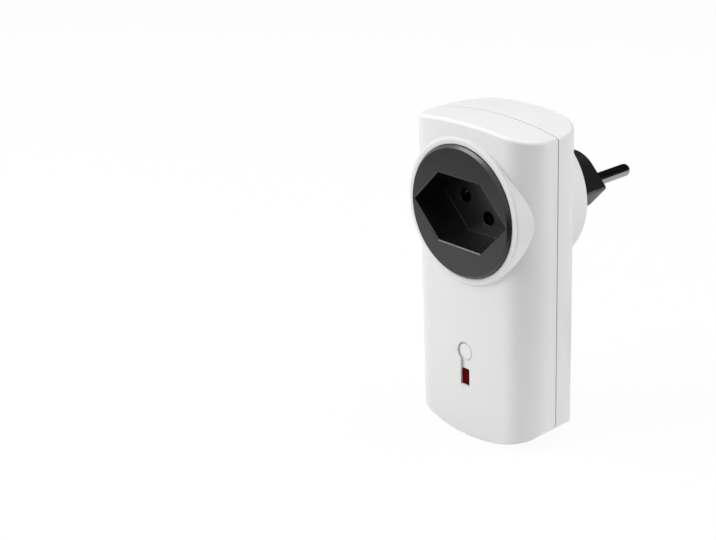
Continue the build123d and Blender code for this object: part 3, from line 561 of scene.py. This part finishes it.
# %% Camera
AZIMUTH, ELEVATION = radians(43.24), radians(20.86)
back = Vector((sin(AZIMUTH) * cos(ELEVATION), -cos(AZIMUTH) * cos(ELEVATION), sin(ELEVATION)))
right = Vector((cos(AZIMUTH), sin(AZIMUTH), 0))
upward = back.cross(right)
camera_data = bpy.data.cameras.new("camera")
camera_data.sensor_width = 36
camera_data.lens = 73.15
camera_data.shift_x = -0.222
camera_data.shift_y = -0.048
camera_data.clip_start = 10 * MM
camera = bpy.data.objects.new("camera", camera_data)
camera.matrix_world = Matrix((right, upward, back)).transposed().to_4x4()
camera.location = (0.2796, -0.3183, 0.1419)
bpy.context.scene.collection.objects.link(camera)
bpy.context.scene.camera = camera
print("camera at", tuple(round(c, 4) for c in camera.location))

# %% [markdown]
# ## Floor and backdrop
# The picture was taken on pure white. A floor that is only bright would burn out the white housing, so
# the floor is a pale diffuse one that shows itself to the camera mostly as plain white. The light it gives
# back stays that of a pale floor, and a trace of the housing's soft shadow still falls on it. Mirrors and
# clear parts see the same white, so that they belong to the same picture.

# %% Helper for what is seen directly
def seen_directly(tree):
    """1 for a ray from the camera, from a mirror or through glass, else 0."""
    path = tree.nodes.new("ShaderNodeLightPath")
    total = path.outputs["Is Camera Ray"]
    for name in ("Is Glossy Ray", "Is Transmission Ray"):
        add = tree.nodes.new("ShaderNodeMath")
        add.operation = "MAXIMUM"
        tree.links.new(total, add.inputs[0])
        tree.links.new(path.outputs[name], add.inputs[1])
        total = add.outputs[0]
    return total


# %% Floor that looks white to the camera
FLOOR_WHITENESS = 0.95
FLOOR_HALF = 2.0
FLOOR_DROP = 0.3 * MM


def floor_material():
    """Pale diffuse floor, mixed with plain white where it is seen directly."""
    mat = bpy.data.materials.new("pale_floor")
    mat.use_nodes = True
    tree = mat.node_tree
    tree.nodes.clear()
    pale = tree.nodes.new("ShaderNodeBsdfDiffuse")
    pale.inputs["Color"].default_value = (0.93, 0.93, 0.93, 1)
    plain = tree.nodes.new("ShaderNodeEmission")
    plain.inputs["Strength"].default_value = 1.0
    amount = spread(tree, seen_directly(tree), 0.0, FLOOR_WHITENESS)
    mix = tree.nodes.new("ShaderNodeMixShader")
    tree.links.new(amount, mix.inputs["Fac"])
    tree.links.new(pale.outputs[0], mix.inputs[1])
    tree.links.new(plain.outputs[0], mix.inputs[2])
    out = tree.nodes.new("ShaderNodeOutputMaterial")
    tree.links.new(mix.outputs[0], out.inputs["Surface"])
    return mat


floor_z = cad_box[0].z - FLOOR_DROP
corners = [(x * FLOOR_HALF, y * FLOOR_HALF, floor_z) for x, y in ((-1, -1), (1, -1), (1, 1), (-1, 1))]
floor_mesh = bpy.data.meshes.new("floor")
floor_mesh.from_pydata(corners, [], [(0, 1, 2, 3)])
floor_mesh.materials.append(floor_material())
floor = bpy.data.objects.new("floor", floor_mesh)
bpy.context.scene.collection.objects.link(floor)
print("floor at", round(floor_z, 4))

# %% [markdown]
# ## Lamps
# Four soft lamps make the picture. The main one stands high in front on the left and gives the front face
# its even white. A weak one, low on the same side, keeps the lower part from falling off. One at the right,
# a little behind the object, lights the side, and one above brightens the top. The rounded corner turns
# away from the front and the right lamp, so it shows the soft darker band that the photograph has there.

# %% Four soft lamps
def soft_lamp(name, place, size, power):
    """A large square lamp that looks at the middle of the object."""
    data = bpy.data.lights.new(name, "AREA")
    data.shape = "SQUARE"
    data.size = size
    data.energy = power
    lamp = bpy.data.objects.new(name, data)
    lamp.location = place
    lamp.rotation_euler = (Vector(OBJECT_MIDDLE) - Vector(place)).to_track_quat("-Z", "Y").to_euler()
    bpy.context.scene.collection.objects.link(lamp)
    print(name, "at", place, "with", power, "watts")


OBJECT_MIDDLE = (0, -0.03, -0.02)
soft_lamp("main_lamp", (-0.38, -0.50, 0.68), size=0.6, power=6.6)
soft_lamp("low_fill", (-0.62, -0.72, 0.0), size=0.6, power=1.2)
soft_lamp("right_lamp", (0.82, 0.46, 0.10), size=0.3, power=3.1)
soft_lamp("top_lamp", (0.10, 0.15, 0.90), size=0.5, power=4.2)

# %% [markdown]
# ## Painted dark reflections round the white table
# The glossy pieces show that the photographer's white table was small and that the room beyond was dark:
# the black socket ring mirrors a grey front floor, and the nickel pin is nearly black above and light
# below. So dark cards lie on the floor in front and at the right, and one stands far behind: painted
# reflections of that dark room. A narrow one is a painted shadow, laid where the object's own shadow falls
# on the floor. Only reflections meet them. The camera, the soft light and the shadows pass through.

# %% Dark cards for the reflections
CARD_LEFT, CARD_RIGHT, CARD_FRONT, CARD_BACK, CARD_TOP = -1.0, 1.2, -0.8, 0.7, 1.2
TABLE_FRONT, TABLE_RIGHT, RIGHT_CARD_BACK = -0.21, 0.08, 0.02
SHADOW_HALF, SHADOW_FRONT, SHADOW_BACK = 0.1, 0.025, 0.069
CARD_LIFT = 1 * MM


def lying_card(left, right_side, near, far):
    """The four corners of a card on the floor."""
    z = floor_z + CARD_LIFT
    return [(left, near, z), (right_side, near, z), (right_side, far, z), (left, far, z)]


card_corners = lying_card(CARD_LEFT, CARD_RIGHT, CARD_FRONT, TABLE_FRONT)
card_corners += lying_card(TABLE_RIGHT, CARD_RIGHT, TABLE_FRONT, RIGHT_CARD_BACK)
# The narrow card is a painted shadow: the object's own shadow on the floor, as the reflections see it.
card_corners += lying_card(-SHADOW_HALF, SHADOW_HALF, SHADOW_FRONT, SHADOW_BACK)
card_foot = floor_z + CARD_LIFT
card_corners += [(CARD_LEFT, CARD_BACK, card_foot), (CARD_RIGHT, CARD_BACK, card_foot),
                 (CARD_RIGHT, CARD_BACK, CARD_TOP), (CARD_LEFT, CARD_BACK, CARD_TOP)]
card_mesh = bpy.data.meshes.new("painted_reflection_card")
card_mesh.from_pydata(card_corners, [], [tuple(range(i, i + 4)) for i in range(0, len(card_corners), 4)])
card_paint = bpy.data.materials.new("painted_reflection_card")
card_paint.use_nodes = True
card_shader = card_paint.node_tree.nodes["Principled BSDF"]
# Near black: the cards are painted dark reflections, seen only by glossy rays.
card_shader.inputs["Base Color"].default_value = (0.02, 0.02, 0.02, 1)
card_shader.inputs["Specular IOR Level"].default_value = 0.0
card_mesh.materials.append(card_paint)
card = bpy.data.objects.new("painted_reflection_card", card_mesh)
bpy.context.scene.collection.objects.link(card)
card.visible_camera = card.visible_diffuse = card.visible_shadow = card.visible_transmission = False
print("dark cards:", len(card_mesh.polygons))

# %% [markdown]
# ## World
# The world gives a low, even light from all sides, as the white walls of a tent do. Where the camera, a
# mirror or a clear part sees it directly it is plain white, like the floor, so the two make one ground.

# %% World
WORLD_LIGHT = 0.14
world = bpy.data.worlds.new("studio")
world.use_nodes = True
bpy.context.scene.world = world
tree = world.node_tree
sky = tree.nodes["Background"]
sky.inputs["Color"].default_value = (1, 1, 1, 1)
tree.links.new(spread(tree, seen_directly(tree), WORLD_LIGHT, 1.0), sky.inputs["Strength"])
bpy.context.scene.view_settings.view_transform = "Standard"
print("world light", WORLD_LIGHT)
